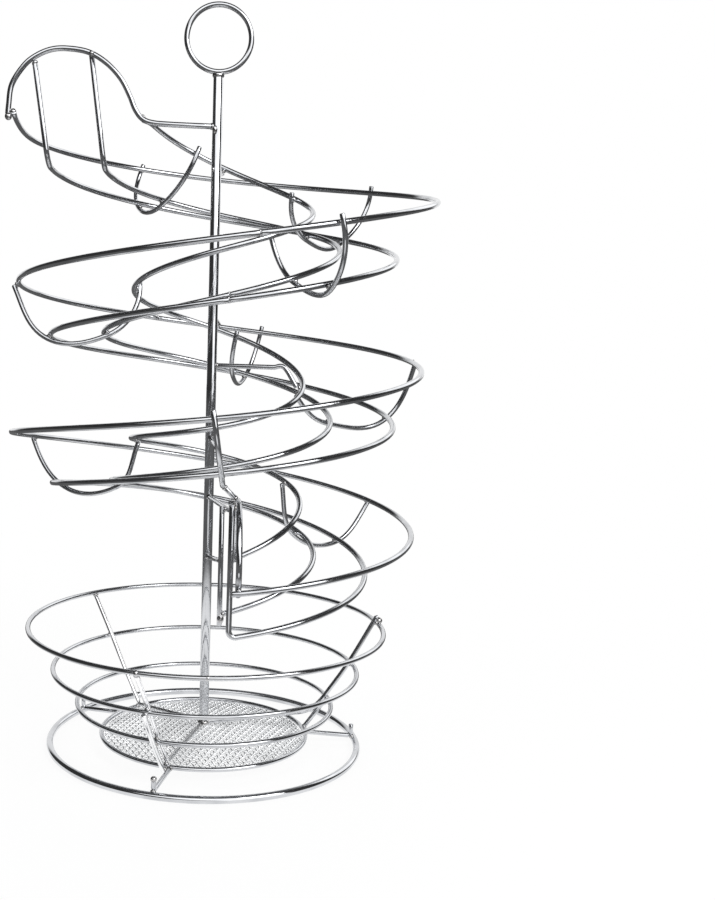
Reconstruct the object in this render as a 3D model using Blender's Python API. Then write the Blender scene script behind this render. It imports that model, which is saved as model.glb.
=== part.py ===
"""Wire egg dispenser: a helical track of four rails round a post, over an open basket.

Metres, +Z up. The origin lies on the post's axis at table level. The front, where the
track ends, faces -Y, and the track starts at the top left. All pieces are round chromed
wire, welded where they cross: each pair keeps WELD_GAP between its surfaces.
"""

import math

import bmesh
import bpy
import numpy as np
from mathutils import Matrix, Vector

# Wire diameters
POST_DIAMETER = 0.0050
FOOT_DIAMETER = 0.0038
RAIL_DIAMETER = 0.0028
ARCH_DIAMETER = 0.0028
HANDLE_DIAMETER = 0.0028
HOOP_DIAMETER = 0.0025
STAY_DIAMETER = 0.0025
BASKET_DIAMETER = 0.0025
BRACKET_DIAMETER = 0.0025
MESH_THICKNESS = 0.0011
WELD_GAP = 0.0003

# Post and handle
POST_RISE = 0.0268
POST_FOOT = 0.0105
HANDLE_RADIUS = 0.01595

# Track: a helix beside the post, clockwise from above, its turns counted from the left
TRACK_X = 0.0040
TRACK_Y = -0.0015
TRACK_TOP = 0.3182
POST_TOP = TRACK_TOP + POST_RISE
TRACK_DEPTH = 0.0240
PITCH = 0.0770
OUTER_TOP_RADIUS = 0.1030
INNER_TOP_RADIUS = 0.0440
OUTER_BOTTOM_RADIUS = 0.0870
INNER_BOTTOM_RADIUS = 0.0580
STOP_BEND = 0.0080
EXIT_BEND = 0.0035
START_TIP = 0.0022

# Entrance and exit
ARCH_RISE = 0.0373
ARCH_TAIL_RISE = 0.0021
ARCH_END = 0.0016
EXIT_X = 0.0120
EXIT_STOP_LEAN = 0.0055
CROSS_WIRE_DROP = 0.0095
EXIT_STAY_DROP = 0.0040
EXIT_STAY_RISE = 0.0080
STOP_BAR_END = 0.0060
BAR_TOP = 0.0014

# Hoops and stays
HOOP_TIP = 0.0036
STAY_END = 0.0020
STAY_RISE = 0.0050
BENT_STAY_RISE = 0.0100

# Basket and foot, heights over the table
TOP_RING_RADIUS = 0.0933
TOP_RING_HEIGHT = 0.0650
MIDDLE_RING_RADIUS = 0.0803
MIDDLE_RING_HEIGHT = 0.0420
LOWER_RING_RADIUS = 0.0675
LOWER_RING_HEIGHT = 0.0233
RIM_RADIUS = 0.0545
RIM_HEIGHT = 0.0060
FOOT_RADIUS = 0.0818
ARM_RISE = 0.0020
ARM_BEND_RADIUS = 0.0520
ARM_BEND_HEIGHT = 0.0162
RIB_TIP = 0.0026
STRUT_TIP = 0.0015
BRACKET_BEND = 0.0020
BRACKET_STUB = 0.0065
MESH_DROP = 0.0011
MESH_DOME = 0.0036
MESH_PITCH = 0.0074
MESH_WIRE = 0.0012

# Facets
SIDES = 8
SIDE_RESOLUTION = 2
THIN_RESOLUTION = 1
RING_STEPS = 40
HANDLE_STEPS = 28
STEPS_PER_TURN = 36
CURVE_STEPS = 2
ARC_STEPS = 5
POST_RESOLUTION = 4
HALVINGS = 40

# The helix is bent by hand, so its rails wander. Each table has one share a quarter turn:
# the drop since the start, as a share of PITCH, and the radius, as a share of the rail's own.
RAIL_SHARES = {
    "outer_top": {
        "drop": (0, 0.175, 0.40, 0.74, 1.01, 1.275, 1.485, 1.732, 1.985, 2.315, 2.58, 2.76, 2.98),
        "radius": (1.015, 1.03, 1.03, 1.01, 0.985, 0.985, 0.99, 1.005, 1.02, 1, 0.98, 0.97, 0.965),
    },
    "inner_top": {
        "drop": (-0.22, 0.17, 0.495, 0.77, 1.03, 1.285, 1.61, 1.86, 2.005, 2.175, 2.415, 2.74, 3.03),
        "radius": (1.04, 0.96, 1.02, 1.015, 1.005, 0.985, 0.97, 1, 1.015, 1.005, 0.985, 0.98, 0.98),
    },
    "outer_bottom": {
        "drop": (-0.08, 0.17, 0.455, 0.77, 1.03, 1.28, 1.545, 1.765, 2.003, 2.25, 2.55, 2.795, 3.045),
        "radius": (1.01, 1.01, 1.005, 1, 0.987, 1.015, 1.025, 1.005, 0.97, 0.935, 0.90, 0.89, 0.885),
    },
    "inner_bottom": {
        "drop": (-0.08, 0.165, 0.42, 0.745, 1.005, 1.24, 1.535, 1.785, 1.983, 2.205, 2.45, 2.735, 3.01),
        "radius": (1.04, 1.03, 1.02, 1.015, 1.02, 1.005, 0.99, 0.97, 0.94, 0.91, 0.885, 0.87, 0.865),
    },
}
TABLE_STEPS = 4

# Where the lengths of each rail are butt welded, in turns from the start
JOINT_SHARES = {
    "outer_top": (0.73, 1.195),
    "inner_top": (1.12,),
    "outer_bottom": (0.748, 1.415),
    "inner_bottom": (0.744,),
}
LENGTH_NAMES = {1: ("upper", "lower"), 2: ("upper", "middle", "lower")}
START_TURN_SHARE = 0.010
EXIT_TURN_SHARE = 2.735

# How each top rail sets off at the entrance, and where it has joined the helix, in turns
START_SHARES = {
    "outer_top": ((0.05, 0.93, -0.36), 0.07),
    "inner_top": ((0.10, 0.97, -0.20), 0.10),
}

# Each hoop's place on the outer and on the inner top rail, in turns from the start, how far its
# bottom leans uphill as a share of its depth, and whether its outer and its inner tip rise
# beside the top rails or stop under them
HOOP_SHARES = (
    (0.182, 0.1935, 0.15, "beside", "beside"),
    (0.390, 0.415, 0, "beside", "beside"),
    (0.675, 0.664, 0, "beside", "beside"),
    (0.994, 0.985, 0.15, "under", "beside"),
    (1.291, 1.288, 0, "beside", "beside"),
    (1.477, 1.540, 0.12, "under", "under"),
    (1.757, 1.760, 0, "beside", "beside"),
    (2.060, 2.036, 0, "under", "under"),
    (2.410, 2.418, -0.22, "under", "under"),
)
EXIT_HOOP_NUMBER = 7
HOOP_BOTTOM_DEGREES = 65
TIP_DEGREES = {"beside": 0, "under": 25}
TIP_SHARES = {"beside": 1, "under": 0.1}
BEZIER_SHARE = 0.36

# An arch across the track: share of the way from the outer to the inner rail, share of the rise
ARCH_SHARES = (
    (-0.015, 0.10),
    (-0.045, 0.26),
    (-0.020, 0.52),
    (0.075, 0.76),
    (0.170, 0.89),
    (0.295, 0.98),
    (0.430, 1.00),
    (0.600, 0.96),
    (0.745, 0.83),
    (0.860, 0.64),
    (0.935, 0.42),
    (0.980, 0.25),
)
ENTRANCE_WIDTH_SHARE = 1.032
ENTRANCE_FOOT_SHARES = (-0.052, 0.14)
ENTRANCE_TAIL_SHARES = ((1.04, 0.13), (1.13, 0.08), (1.30, 0.065))
INNER_START_SHARES = (1.034, 0.161)
OUTER_STOP_SHARE = 0.161
INNER_STOP_SHARE = 0.617
CROSS_NEAR_SHARE = 0.76
CROSS_FAR_SHARE = 0.62
HANGER_SHARE = 0.45
UPPER_STAY_SHARE = 0.25
MIDDLE_STAY_SHARE = 1.25
LOWER_STAY_SHARE = 0.86
BENT_STAY_SHARE = 1.524
KNEE_SHARE = 0.84

RIB_DEGREES = {"left": 133, "front": -111, "right": 5}
STRUT_DEGREES = {"front": -111, "right": 7.5}
BRACKET_DEGREES = {"left": 148, "front": -108, "right": 2.5}
BRACKET_FOOT_DEGREES = 135
CORNER_SHARE = 0.42

CHROME = (0.80, 0.81, 0.83)
BRIGHT = (0.86, 0.87, 0.89)
WIRE_ROUGHNESS = 0.15
MESH_ROUGHNESS = 0.30


def clear_scene():
    for item in list(bpy.data.objects):
        bpy.data.objects.remove(item, do_unlink=True)


def metal(name, colour, roughness):
    material = bpy.data.materials.new(name)
    material.use_nodes = True
    shader = material.node_tree.nodes["Principled BSDF"]
    shader.inputs["Base Color"].default_value = (*colour, 1)
    shader.inputs["Metallic"].default_value = 1
    shader.inputs["Roughness"].default_value = roughness
    material.diffuse_color = (*colour, 1)
    return material


def show(name, data, colour=CHROME, roughness=WIRE_ROUGHNESS):
    item = bpy.data.objects.new(name, data)
    data.materials.append(metal(name + "_finish", colour, roughness))
    bpy.context.scene.collection.objects.link(item)
    return item


def wire(name, points, diameter, resolution=SIDE_RESOLUTION, **finish):
    """A round wire with cut ends along the points."""
    curve = bpy.data.curves.new(name, "CURVE")
    curve.dimensions = "3D"
    curve.bevel_depth = diameter / 2
    curve.bevel_resolution = resolution
    curve.use_fill_caps = True
    spline = curve.splines.new("POLY")
    spline.points.add(len(points) - 1)
    for knot, point in zip(spline.points, points):
        knot.co = (*point, 1)
    return show(name, curve, **finish)


def ring(name, radius, diameter, place, turn=Matrix.Identity(3), steps=RING_STEPS, **finish):
    """A closed ring: a round section with a flat side down, spun about Z."""
    mesh = bmesh.new()
    bmesh.ops.create_circle(mesh, segments=SIDES, radius=diameter / 2)
    upright = Matrix.Rotation(math.pi / 2, 3, "X") @ Matrix.Rotation(math.pi / SIDES, 3, "Z")
    bmesh.ops.rotate(mesh, matrix=upright, verts=mesh.verts)
    bmesh.ops.translate(mesh, vec=(radius, 0, 0), verts=mesh.verts)
    bmesh.ops.spin(
        mesh,
        geom=list(mesh.edges),
        cent=(0, 0, 0),
        axis=(0, 0, 1),
        angle=2 * math.pi,
        steps=steps,
        use_merge=True,
    )
    bmesh.ops.recalc_face_normals(mesh, faces=mesh.faces)
    bmesh.ops.rotate(mesh, matrix=turn, verts=mesh.verts)
    bmesh.ops.translate(mesh, vec=place, verts=mesh.verts)
    data = bpy.data.meshes.new(name)
    mesh.to_mesh(data)
    mesh.free()
    data.shade_smooth()
    return show(name, data, **finish)


def smooth(shares, at):
    """The natural cubic through evenly spaced shares, read at a place counted in their steps."""
    last = len(shares) - 1
    bends = np.zeros(last + 1)
    system = 4 * np.eye(last - 1) + np.eye(last - 1, k=1) + np.eye(last - 1, k=-1)
    bends[1:last] = np.linalg.solve(system, 6 * np.diff(shares, 2))
    low = min(max(int(at), 0), last - 1)
    after = at - low
    before = 1 - after
    bent = bends[low] * (before**3 - before) + bends[low + 1] * (after**3 - after)
    return shares[low] * before + shares[low + 1] * after + bent / 6


def through(points, steps=CURVE_STEPS):
    """A smooth run through all the points."""
    points = [Vector(point) for point in points]
    ends = [2 * points[0] - points[1], *points, 2 * points[-1] - points[-2]]
    run = []
    for a, b, c, d in zip(ends, ends[1:], ends[2:], ends[3:]):
        for step in range(steps):
            t = step / steps
            run.append(
                b
                + (c - a) * t / 2
                + (2 * a - 5 * b + 4 * c - d) * t**2 / 2
                + (3 * b - a - 3 * c + d) * t**3 / 2
            )
    return [*run, points[-1]]


def arc(start, start_way, end, end_way):
    """A round bend from one place and direction to another, without its last point."""
    reach = (end - start).length * BEZIER_SHARE
    a = start + start_way * reach
    b = end - end_way * reach
    run = []
    for step in range(ARC_STEPS):
        t = step / ARC_STEPS
        s = 1 - t
        run.append(start * s**3 + 3 * a * s**2 * t + 3 * b * s * t**2 + end * t**3)
    return run


def weld(first, second):
    """How far apart the middles of two wires lie where they are welded side by side."""
    return (first + second) / 2 + WELD_GAP


def butt(other, diameter, way, other_way):
    """How far short of another wire's middle a wire ends, so that its cut end just clears it."""
    slant = abs(way.dot(other_way))
    return (other / 2 + WELD_GAP + diameter / 2 * slant) / math.sqrt(1 - slant**2)


RAIL_SIZES = {
    "outer_top": (OUTER_TOP_RADIUS, TRACK_TOP),
    "inner_top": (INNER_TOP_RADIUS, TRACK_TOP),
    "outer_bottom": (OUTER_BOTTOM_RADIUS, TRACK_TOP - TRACK_DEPTH),
    "inner_bottom": (INNER_BOTTOM_RADIUS, TRACK_TOP - TRACK_DEPTH),
}


def on_rail(rail, turns):
    """The place of a rail's middle so many turns from the track's start."""
    radius, top = RAIL_SIZES[rail]
    radius *= smooth(RAIL_SHARES[rail]["radius"], turns * TABLE_STEPS)
    angle = turns * 2 * math.pi
    return Vector(
        (
            TRACK_X - radius * math.cos(angle),
            TRACK_Y + radius * math.sin(angle),
            top - PITCH * smooth(RAIL_SHARES[rail]["drop"], turns * TABLE_STEPS),
        )
    )


def along_rail(rail, turns):
    """The way a rail runs there, downhill."""
    step_share = 0.002
    return (on_rail(rail, turns + step_share) - on_rail(rail, turns - step_share)).normalized()


def turns_at(rail, place, normal, turns, reach_share=0.12):
    """Where a rail crosses a plane, looked for on both sides of a place on the track."""
    low = turns - reach_share
    high = turns + reach_share
    side = (on_rail(rail, low) - place).dot(normal) > 0
    for _ in range(HALVINGS):
        middle = (low + high) / 2
        if ((on_rail(rail, middle) - place).dot(normal) > 0) == side:
            low = middle
        else:
            high = middle
    return (low + high) / 2


def rail_run(rail, first, last):
    """Points along a rail, evenly spaced."""
    count = max(2, round((last - first) * STEPS_PER_TURN))
    return [on_rail(rail, first + (last - first) * step / count) for step in range(count + 1)]


def lengths_of(rail, start, end, before=(), after=()):
    """The butt-welded lengths of a rail, with any bent ends, each in its own object."""
    radius, _ = RAIL_SIZES[rail]
    half_gap = WELD_GAP / (2 * 2 * math.pi * radius)
    joints = JOINT_SHARES[rail]
    firsts = [start, *(joint + half_gap for joint in joints)]
    lasts = [*(joint - half_gap for joint in joints), end]
    for number, part in enumerate(LENGTH_NAMES[len(joints)]):
        run = rail_run(rail, firsts[number], lasts[number])
        if number == 0:
            run = [*before, *run]
        if number == len(joints):
            run = [*run, *after]
        wire(f"{rail}_rail_{part}", run, RAIL_DIAMETER)


UP = Vector((0, 0, 1))
BACK = Vector((0, 1, 0))
RIGHT = Vector((1, 0, 0))


def entrance():
    """The arch over the track's mouth, and how the rails start from it."""
    outer = on_rail("outer_top", 0)
    width = (OUTER_TOP_RADIUS - INNER_TOP_RADIUS) * ENTRANCE_WIDTH_SHARE

    def place(way, up):
        return outer + RIGHT * width * way + UP * ARCH_RISE * up

    foot = place(*ENTRANCE_FOOT_SHARES)
    points = [place(way, up) for way, up in (*ARCH_SHARES[1:], *ENTRANCE_TAIL_SHARES)]
    tail = outer + UP * ARCH_TAIL_RISE
    tail.x = -POST_DIAMETER / 2 - WELD_GAP
    wire("entrance_arch", [*through([foot, *points]), tail], ARCH_DIAMETER)

    # The outer top rail sets off beside the arch's foot, the inner one from behind its tail
    beside = weld(ARCH_DIAMETER, RAIL_DIAMETER)
    ways = {rail: Vector(way).normalized() for rail, (way, _) in START_SHARES.items()}
    tail_way = (place(*ENTRANCE_TAIL_SHARES[0]) - place(*ARCH_SHARES[-1])).normalized()
    back_off = butt(ARCH_DIAMETER, RAIL_DIAMETER, ways["inner_top"], tail_way)
    firsts = {
        "outer_top": foot + RIGHT * beside - ways["outer_top"] * START_TIP,
        "inner_top": place(*INNER_START_SHARES) + ways["inner_top"] * back_off,
    }
    for rail, (_, turns) in START_SHARES.items():
        starts[rail] = turns
        bends[rail] = arc(firsts[rail], ways[rail], on_rail(rail, turns), along_rail(rail, turns))

    # The bottom rails turn up to the arch: the outer one ends under it, the inner one behind it
    for rail, share in (("outer_bottom", OUTER_STOP_SHARE), ("inner_bottom", INNER_STOP_SHARE)):
        starts[rail] = turns_at(rail, outer + BACK * STOP_BEND, BACK, START_TURN_SHARE)
        bend_end = on_rail(rail, starts[rail])
        top = place(share, arch_up(share))
        corner = on_rail(rail, 0)
        if rail == "outer_bottom":
            down = (corner - top).normalized()
            top += down * butt(ARCH_DIAMETER, RAIL_DIAMETER, down, arch_way(place, share))
        else:
            top += BACK * beside + UP * BAR_TOP
            corner += BACK * beside
        bend_start = corner.lerp(top, STOP_BEND / (top - corner).length)
        down = (corner - top).normalized()
        bends[rail] = [top, *arc(bend_start, down, bend_end, along_rail(rail, starts[rail]))]


def arch_up(share):
    """The share of an arch's rise at a share of its width, on its crown."""
    crown = [point for point in ARCH_SHARES if point[0] > 0]
    return float(np.interp(share, [way for way, up in crown], [up for way, up in crown]))


def arch_way(place, share):
    """The way an arch runs there."""
    step_share = 0.02
    before = place(share - step_share, arch_up(share - step_share))
    return (place(share + step_share, arch_up(share + step_share)) - before).normalized()


starts = {}
bends = {}


def track():
    """The four rails, the exit's arch, bars and stays."""
    beside = weld(ARCH_DIAMETER, RAIL_DIAMETER)
    exit_plane = Vector((EXIT_X, 0, 0))

    # The outer top rail runs past the arch's outer leg, the inner one stops against the inner leg
    outer_turns = turns_at("outer_top", exit_plane, RIGHT, EXIT_TURN_SHARE)
    outer_end = turns_at("outer_top", exit_plane - RIGHT * beside, RIGHT, EXIT_TURN_SHARE)
    inner_end = turns_at(
        "inner_top", exit_plane + RIGHT * weld(ARCH_DIAMETER, 0), RIGHT, EXIT_TURN_SHARE
    )
    outer = on_rail("outer_top", outer_turns) + BACK * beside
    inner = on_rail("inner_top", inner_end)
    inner.x = EXIT_X
    lengths_of("outer_top", starts["outer_top"], outer_end, before=bends["outer_top"])
    lengths_of("inner_top", starts["inner_top"], inner_end, before=bends["inner_top"])

    def place(way, up):
        return Vector((EXIT_X, outer.y + (inner.y - outer.y) * way, outer.z + ARCH_RISE * up))

    points = [outer - UP * ARCH_END, outer]
    points += [place(way, up) for way, up in ARCH_SHARES]
    points += [inner, inner - UP * ARCH_END]
    wire("exit_arch", through(points), ARCH_DIAMETER)

    # The outer bottom rail turns up beside the arch
    bar_x = EXIT_X - beside
    bend = turns_at("outer_bottom", Vector((bar_x + EXIT_BEND, 0, 0)), RIGHT, EXIT_TURN_SHARE)
    foot_turns = turns_at("outer_bottom", Vector((bar_x, 0, 0)), RIGHT, EXIT_TURN_SHARE)
    foot = on_rail("outer_bottom", foot_turns)
    top_y = foot.y - EXIT_STOP_LEAN
    share = (top_y - outer.y) / (inner.y - outer.y)
    top = Vector((bar_x, top_y, outer.z + ARCH_RISE * arch_up(share) + BAR_TOP))
    up = (top - foot).normalized()
    bend_end = foot + up * EXIT_BEND
    turn_up = arc(on_rail("outer_bottom", bend), along_rail("outer_bottom", bend), bend_end, up)
    lengths_of(
        "outer_bottom",
        starts["outer_bottom"],
        bend,
        before=bends["outer_bottom"],
        after=[*turn_up[1:], bend_end, top],
    )

    # A wire from the post runs along the arch's inner shoulder
    cross_start = Vector((0, -POST_DIAMETER / 2 - WELD_GAP, outer.z + ARCH_RISE - CROSS_WIRE_DROP))
    side = RIGHT * weld(ARCH_DIAMETER, STAY_DIAMETER)
    near = place(CROSS_NEAR_SHARE, arch_up(CROSS_NEAR_SHARE)) - side
    far = place(CROSS_FAR_SHARE, arch_up(CROSS_FAR_SHARE)) - side
    wire("exit_cross_wire", through([cross_start, near, far], ARC_STEPS), STAY_DIAMETER)

    # The inner bottom rail stops against an upright bar, which hangs beside that wire
    bar_y = on_rail("inner_bottom", EXIT_TURN_SHARE).y
    share = (bar_y - cross_start.y) / (near.y - cross_start.y)
    crossing = cross_start.lerp(near, share)
    skew = math.hypot(near.x - cross_start.x, near.y - cross_start.y) / abs(near.y - cross_start.y)
    stop_x = crossing.x - weld(STAY_DIAMETER, STAY_DIAMETER) * skew
    end = turns_at(
        "inner_bottom", Vector((stop_x + weld(STAY_DIAMETER, 0), 0, 0)), RIGHT, EXIT_TURN_SHARE
    )
    rail_end = on_rail("inner_bottom", end)
    lengths_of("inner_bottom", starts["inner_bottom"], end, before=bends["inner_bottom"])
    bar_top = Vector((stop_x, rail_end.y, crossing.z + BAR_TOP))
    bar_end = Vector((stop_x, rail_end.y, rail_end.z - STOP_BAR_END))
    wire("exit_stop_bar", [bar_top, bar_end], STAY_DIAMETER, THIN_RESOLUTION)

    # A stay from the post to that bar
    height = outer.z - EXIT_STAY_DROP
    way = Vector((stop_x, rail_end.y, 0)).normalized()
    stay_start = way * (POST_DIAMETER / 2 + WELD_GAP) + UP * height
    stay_end = Vector((stop_x, rail_end.y, height + EXIT_STAY_RISE)) - way * weld(STAY_DIAMETER, 0)
    wire("exit_post_stay", [stay_start, stay_end], STAY_DIAMETER, THIN_RESOLUTION)
    return place(HANGER_SHARE, arch_up(HANGER_SHARE)), arch_way(place, HANGER_SHARE)


def stand_off(rail_way, outward, hoop_way):
    """How far out the hoop's middle lies so that its surface just clears a slanting rail's."""
    across = rail_way.cross(hoop_way)
    return weld(RAIL_DIAMETER, HOOP_DIAMETER) * across.length / abs(across.dot(outward))


def hoop(outer_turns, inner_turns, lean_share, *tips):
    """The points of a U hoop that holds the four rails, about square to the track's slope."""
    outer = on_rail("outer_top", outer_turns)
    inner = on_rail("inner_top", inner_turns)
    inward = (inner - outer).normalized()
    downhill = along_rail("outer_top", outer_turns) + along_rail("inner_top", inner_turns)
    down = downhill.cross(inward).normalized()
    down = (down - downhill.normalized() * lean_share).normalized()
    middle = (outer_turns + inner_turns) / 2
    outer_tip, inner_tip = (math.radians(TIP_DEGREES[tip]) for tip in tips)
    bottom = math.radians(HOOP_BOTTOM_DEGREES)
    corners = []
    for rail, turns, side, angle in (
        ("outer_top", outer_turns, -1, outer_tip),
        ("outer_bottom", None, -1, bottom),
        ("inner_bottom", None, 1, bottom),
        ("inner_top", inner_turns, 1, inner_tip),
    ):
        if turns is None:
            turns = turns_at(rail, outer, inward.cross(down), middle)
        outward = inward * side * math.cos(angle) + down * math.sin(angle)
        run = inward * math.sin(angle) - down * side * math.cos(angle)
        reach = stand_off(along_rail(rail, turns), outward, run)
        corners.append((on_rail(rail, turns) + outward * reach, run))
    outer_length, inner_length = (HOOP_TIP * TIP_SHARES[tip] for tip in tips)
    points = [corners[0][0] - corners[0][1] * outer_length]
    for (start, start_way), (end, end_way) in zip(corners, corners[1:]):
        points += arc(start, start_way, end, end_way)
    return [*points, corners[-1][0], corners[-1][0] + corners[-1][1] * inner_length]


def hoops(arch_top, top_way):
    """The nine hoops, and two wires welded to the one over the exit."""
    runs = [hoop(*place) for place in HOOP_SHARES]
    for number, run in enumerate(runs, 1):
        wire(f"track_hoop_{number}", run, HOOP_DIAMETER, THIN_RESOLUTION)
    front = runs[EXIT_HOOP_NUMBER - 1]
    middle = len(front) // 2
    bottom = front[middle]
    bottom_way = (front[middle + 1] - front[middle - 1]).normalized()
    way = (arch_top - bottom).normalized()
    hanger_start = bottom + way * butt(HOOP_DIAMETER, STAY_DIAMETER, way, bottom_way)
    hanger_end = arch_top - way * butt(ARCH_DIAMETER, STAY_DIAMETER, way, top_way)
    wire("exit_hanger", [hanger_start, hanger_end], STAY_DIAMETER, THIN_RESOLUTION)

    leg = front[round((len(front) - 1) * LOWER_STAY_SHARE)]
    way = Vector((leg.x, leg.y, 0)).normalized()
    stay_start = way * (POST_DIAMETER / 2 + WELD_GAP) + UP * leg.z
    wire(
        "lower_post_stay",
        [stay_start, leg - way * weld(HOOP_DIAMETER, 0)],
        STAY_DIAMETER,
        THIN_RESOLUTION,
    )


def post_stays():
    """Two stays from the back of the post: one runs under the inner top rail, one over it."""
    for name, turns, over, rise in (
        ("upper_post_stay", UPPER_STAY_SHARE, -1, 0),
        ("middle_post_stay", MIDDLE_STAY_SHARE, 1, STAY_RISE),
    ):
        seat = on_rail("inner_top", turns)
        way = Vector((seat.x, seat.y, 0)).normalized()
        slope = along_rail("inner_top", turns)
        lift = over * weld(RAIL_DIAMETER, STAY_DIAMETER) / math.hypot(slope.x, slope.y)
        start = way * (POST_DIAMETER / 2 + WELD_GAP) + UP * (seat.z + lift + rise)
        wire(name, [start, seat + UP * lift + way * STAY_END], STAY_DIAMETER, THIN_RESOLUTION)


def bent_stay():
    """A stay from the right of the post: level, then down to the inner top rail's side."""
    rail = on_rail("inner_top", BENT_STAY_SHARE)
    way = Vector((rail.x, rail.y, 0)).normalized()
    seat = rail - way * weld(RAIL_DIAMETER, STAY_DIAMETER)
    start = way * (POST_DIAMETER / 2 + WELD_GAP) + UP * (rail.z + BENT_STAY_RISE)
    knee = start.lerp(seat, KNEE_SHARE)
    knee.z = start.z
    level = start.lerp(knee, KNEE_SHARE)
    wire("bent_post_stay", [start, *through([level, knee, seat], ARC_STEPS)], STAY_DIAMETER)


def post_and_handle():
    wire(
        "centre_post",
        [UP * POST_FOOT, UP * POST_TOP],
        POST_DIAMETER,
        POST_RESOLUTION,
        colour=BRIGHT,
    )
    ring(
        "handle_ring",
        HANDLE_RADIUS,
        HANDLE_DIAMETER,
        UP * (POST_TOP + WELD_GAP + HANDLE_DIAMETER / 2 + HANDLE_RADIUS),
        Matrix.Rotation(math.pi / 2, 3, "X"),
        HANDLE_STEPS,
    )


def basket():
    """The four rings, the ribs and struts down their sides, and the brackets to the foot."""
    rings = (
        ("floor_rim", RIM_RADIUS, RIM_HEIGHT),
        ("basket_lower_ring", LOWER_RING_RADIUS, LOWER_RING_HEIGHT),
        ("basket_middle_ring", MIDDLE_RING_RADIUS, MIDDLE_RING_HEIGHT),
        ("basket_top_ring", TOP_RING_RADIUS, TOP_RING_HEIGHT),
    )
    for name, radius, height in rings:
        ring(name, radius, BASKET_DIAMETER, UP * height)
    foot_height = FOOT_DIAMETER / 2 * math.cos(math.pi / SIDES)
    ring("foot_ring", FOOT_RADIUS, FOOT_DIAMETER, UP * foot_height, colour=BRIGHT)

    # Where a wire down the basket's side lies, inside the rings and outside them
    middles = [Vector((radius, 0, height)) for _, radius, height in rings]
    beside = weld(BASKET_DIAMETER, BASKET_DIAMETER)
    inside = []
    outside = []
    slopes = []
    for number, middle in enumerate(middles):
        below = middles[max(number - 1, 0)]
        above = middles[min(number + 1, len(middles) - 1)]
        slope = (above - below).normalized()
        away = Vector((-slope.z, 0, slope.x)) * beside
        inside.append(middle + away)
        outside.append(middle - away)
        slopes.append(slope)

    # A rib runs down inside the rings and on to the post, as one wire: two of them across the
    # floor, from under the top ring, and the right one over it, from past the top ring
    hub = Vector((POST_DIAMETER / 2 + WELD_GAP, 0, RIM_HEIGHT + MESH_DOME + ARM_RISE))
    under_top = middles[-1] - slopes[-1] * weld(BASKET_DIAMETER, 0)
    low_rib = [*through([*inside[:-1], under_top])[::-1], hub]
    tip = inside[-1] + slopes[-1] * RIB_TIP
    level = Vector((ARM_BEND_RADIUS, 0, ARM_BEND_HEIGHT))
    turn_in = arc(inside[1], -slopes[1], level, (hub - level).normalized())
    high_rib = [*through([*inside[1:], tip])[:0:-1], *turn_in, level, hub]

    # A strut outside the rings, beside the front rib, and one between two rings at the right
    outer_strut = [*through(outside[:-1]), outside[-2] + slopes[-2] * STRUT_TIP]
    climb = (middles[1] - middles[0]).normalized() * weld(BASKET_DIAMETER, 0)
    short_strut = [middles[0] + climb, middles[1] - climb]

    # A bracket: from the floor rim's side out to the foot ring, then a short end turned up
    foot_angle = math.radians(BRACKET_FOOT_DEGREES)
    foot_way = Vector((math.cos(foot_angle), 0, math.sin(foot_angle)))
    reach = weld(FOOT_DIAMETER, BRACKET_DIAMETER) - BRACKET_BEND * CORNER_SHARE
    corner = Vector((FOOT_RADIUS, 0, foot_height)) + foot_way * reach
    out = (corner - middles[0]).normalized()
    bend_end = corner + UP * BRACKET_BEND
    bend = arc(corner - out * BRACKET_BEND, out, bend_end, UP)
    start = middles[0] + out * weld(BASKET_DIAMETER, 0)
    bracket = [start, *bend, bend_end, corner + UP * BRACKET_STUB]

    pieces = [(f"foot_bracket_{side}", bracket, angle) for side, angle in BRACKET_DEGREES.items()]
    for side, angle in RIB_DEGREES.items():
        pieces.append((f"basket_rib_{side}", high_rib if side == "right" else low_rib, angle))
    pieces.append(("basket_strut_front", outer_strut, STRUT_DEGREES["front"]))
    pieces.append(("basket_strut_right", short_strut, STRUT_DEGREES["right"]))
    for name, points, angle in pieces:
        turn = Matrix.Rotation(math.radians(angle), 3, "Z")
        diameter = BRACKET_DIAMETER if name.startswith("foot_bracket") else BASKET_DIAMETER
        wire(name, [turn @ point for point in points], diameter)


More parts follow.
